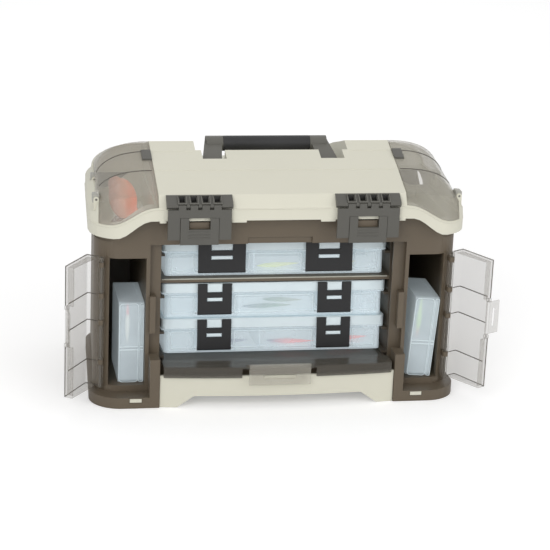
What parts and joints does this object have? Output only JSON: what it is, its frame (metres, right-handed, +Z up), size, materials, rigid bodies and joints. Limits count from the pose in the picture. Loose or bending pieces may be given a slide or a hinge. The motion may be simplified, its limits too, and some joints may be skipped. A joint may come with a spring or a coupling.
{
  "type": "fishing tackle cabinet",
  "caption": "Hard plastic fishing tackle cabinet with a hinged lid, carry handle, smoked end doors and hatches, and clear boxes on racks.",
  "frame": {"origin": "centre of the case's footprint on the ground, on the flat underside of the base tray", "axes": "+X to the object's left-to-right as seen from the front, +Y to the back, +Z up"},
  "size_m": [0.5348, 0.2821, 0.3006],
  "materials": {
    "case_taupe": "satin moulded plastic",
    "shell_cream": "satin moulded plastic",
    "trim_grey": "satin moulded plastic",
    "grip_black": "soft moulded grip",
    "smoked_clear": "smoked translucent plastic",
    "box_clear": "clear plastic",
    "box_latch_black": "moulded plastic",
    "rack_dark": "moulded plastic",
    "pin_steel": "steel pin",
    "lure_paint": "painted lure bodies",
    "lure_red": "painted lure bodies",
    "lure_white": "painted lure bodies"
  },
  "bodies": {
    "case": {"case_shell": "case_taupe", "case_front": "case_taupe", "case_floors": "case_taupe", "case_bumper": "case_taupe", "base_tray": "shell_cream", "base_screws": "pin_steel", "rack_panel_left": "rack_dark", "rack_panel_right": "rack_dark", "rack_shelf": "case_taupe", "case_pins": "pin_steel"},
    "lid": {"lid_shell": "shell_cream", "lid_rim": "shell_cream", "lid_channel": "shell_cream", "hatch_well_left": "shell_cream", "hatch_well_right": "shell_cream", "latch_block_left": "trim_grey", "latch_block_right": "trim_grey", "lid_pins": "pin_steel", "hatch_lure_left": "lure_red"},
    "handle": {"handle_frame": "trim_grey", "handle_grip": "grip_black"},
    "front_door": {"front_door": "smoked_clear"},
    "front_flap": {"front_flap": "smoked_clear"},
    "latch_left": {"latch_plate_left": "trim_grey", "latch_tab_left": "trim_grey"},
    "hatch_left": {"hatch_left": "smoked_clear", "hatch_clasp_left": "trim_grey"},
    "side_door_left": {"side_door_left": "smoked_clear"},
    "side_flap_left": {"side_flap_left": "smoked_clear"},
    "small_box_left": {"small_box_left_base": "box_clear", "small_box_left_lid": "box_clear", "small_box_left_lure": "lure_white"},
    "latch_right": {"latch_plate_right": "trim_grey", "latch_tab_right": "trim_grey"},
    "hatch_right": {"hatch_right": "smoked_clear", "hatch_clasp_right": "trim_grey"},
    "side_door_right": {"side_door_right": "smoked_clear"},
    "side_flap_right": {"side_flap_right": "smoked_clear"},
    "small_box_right": {"small_box_right_base": "box_clear", "small_box_right_lid": "box_clear", "small_box_right_lure": "lure_paint"},
    "box_bottom": {"box_bottom_base": "box_clear", "box_bottom_lid": "box_clear", "box_bottom_dividers": "box_clear", "box_bottom_lures": "lure_red"},
    "box_bottom_latch_left": {"box_bottom_latch_left": "box_latch_black"},
    "box_bottom_latch_right": {"box_bottom_latch_right": "box_latch_black"},
    "box_middle": {"box_middle_base": "box_clear", "box_middle_lid": "box_clear", "box_middle_dividers": "box_clear", "box_middle_lures": "lure_paint"},
    "box_middle_latch_left": {"box_middle_latch_left": "box_latch_black"},
    "box_middle_latch_right": {"box_middle_latch_right": "box_latch_black"},
    "box_top": {"box_top_base": "box_clear", "box_top_lid": "box_clear", "box_top_dividers": "box_clear", "box_top_lures": "lure_paint"},
    "box_top_latch_left": {"box_top_latch_left": "box_latch_black"},
    "box_top_latch_right": {"box_top_latch_right": "box_latch_black"}
  },
  "joints": [
    {"name": "lid_hinge", "type": "hinge", "parent": "case", "child": "lid", "pos_m": [0, 0.122, 0.238], "axis": [-1, 0, 0], "range_deg": [0, 100]},
    {"name": "latch_left_hinge", "type": "hinge", "parent": "lid", "child": "latch_left", "pos_m": [-0.103, -0.1295, 0.2535], "axis": [-1, 0, 0], "range_deg": [0, 90]},
    {"name": "latch_right_hinge", "type": "hinge", "parent": "lid", "child": "latch_right", "pos_m": [0.103, -0.1295, 0.2535], "axis": [-1, 0, 0], "range_deg": [0, 90]},
    {"name": "handle_hinge", "type": "hinge", "parent": "lid", "child": "handle", "pos_m": [0, -0.029, 0.272], "axis": [1, 0, 0], "range_deg": [0, 65]},
    {"name": "hatch_left_hinge", "type": "hinge", "parent": "lid", "child": "hatch_left", "pos_m": [-0.2189, -0.049, 0.254], "axis": [-0.0599, -0.9982, 0], "range_deg": [0, 85]},
    {"name": "hatch_right_hinge", "type": "hinge", "parent": "lid", "child": "hatch_right", "pos_m": [0.2189, -0.049, 0.254], "axis": [-0.0599, 0.9982, 0], "range_deg": [0, 85]},
    {"name": "side_door_left_hinge", "type": "hinge", "parent": "case", "child": "side_door_left", "pos_m": [-0.2155, -0.1075, 0.103], "axis": [0, 0, -1], "range_deg": [-123, 15]},
    {"name": "side_door_right_hinge", "type": "hinge", "parent": "case", "child": "side_door_right", "pos_m": [0.2155, -0.1075, 0.103], "axis": [0, 0, 1], "range_deg": [-120, 18]},
    {"name": "side_flap_left_hinge", "type": "hinge", "parent": "side_door_left", "child": "side_flap_left", "pos_m": [-0.25815, -0.13811, 0.11], "axis": [0, 0, -1], "range_deg": [-2, 128]},
    {"name": "side_flap_right_hinge", "type": "hinge", "parent": "side_door_right", "child": "side_flap_right", "pos_m": [0.25649, -0.1403, 0.11], "axis": [0, 0, 1], "range_deg": [-127, 3]},
    {"name": "front_door_slide", "type": "slide", "parent": "case", "child": "front_door", "axis": [0, -0.9962, 0.0872], "range_m": [0, 0.13]},
    {"name": "front_flap_hinge", "type": "hinge", "parent": "front_door", "child": "front_flap", "pos_m": [0, -0.1426, 0.054], "axis": [-1, 0, 0], "range_deg": [0, 85]},
    {"name": "box_bottom_slide", "type": "slide", "parent": "case", "child": "box_bottom", "axis": [0, -0.9962, 0.0872], "range_m": [0, 0.19]},
    {"name": "box_middle_slide", "type": "slide", "parent": "case", "child": "box_middle", "axis": [0, -0.9962, 0.0872], "range_m": [0, 0.19]},
    {"name": "box_top_slide", "type": "slide", "parent": "case", "child": "box_top", "axis": [0, -0.9962, 0.0872], "range_m": [0, 0.19]},
    {"name": "box_bottom_latch_left_hinge", "type": "hinge", "parent": "box_bottom", "child": "box_bottom_latch_left", "pos_m": [-0.0745, -0.09137, 0.06006], "axis": [1, 0, 0], "range_deg": [0, 85]},
    {"name": "box_bottom_latch_right_hinge", "type": "hinge", "parent": "box_bottom", "child": "box_bottom_latch_right", "pos_m": [0.0745, -0.09137, 0.06006], "axis": [1, 0, 0], "range_deg": [0, 85]},
    {"name": "box_middle_latch_left_hinge", "type": "hinge", "parent": "box_middle", "child": "box_middle_latch_left", "pos_m": [-0.0745, -0.08745, 0.10488], "axis": [1, 0, 0], "range_deg": [0, 85]},
    {"name": "box_middle_latch_right_hinge", "type": "hinge", "parent": "box_middle", "child": "box_middle_latch_right", "pos_m": [0.0745, -0.08745, 0.10488], "axis": [1, 0, 0], "range_deg": [0, 85]},
    {"name": "box_top_latch_left_hinge", "type": "hinge", "parent": "box_top", "child": "box_top_latch_left", "pos_m": [-0.0665, -0.08288, 0.15718], "axis": [1, 0, 0], "range_deg": [0, 85]},
    {"name": "box_top_latch_right_hinge", "type": "hinge", "parent": "box_top", "child": "box_top_latch_right", "pos_m": [0.0665, -0.08288, 0.15718], "axis": [1, 0, 0], "range_deg": [0, 85]},
    {"name": "small_box_left_slide", "type": "slide", "parent": "case", "child": "small_box_left", "axis": [0, -1, 0], "range_m": [0, 0.1]},
    {"name": "small_box_right_slide", "type": "slide", "parent": "case", "child": "small_box_right", "axis": [0, -1, 0], "range_m": [0, 0.1]}
  ]
}
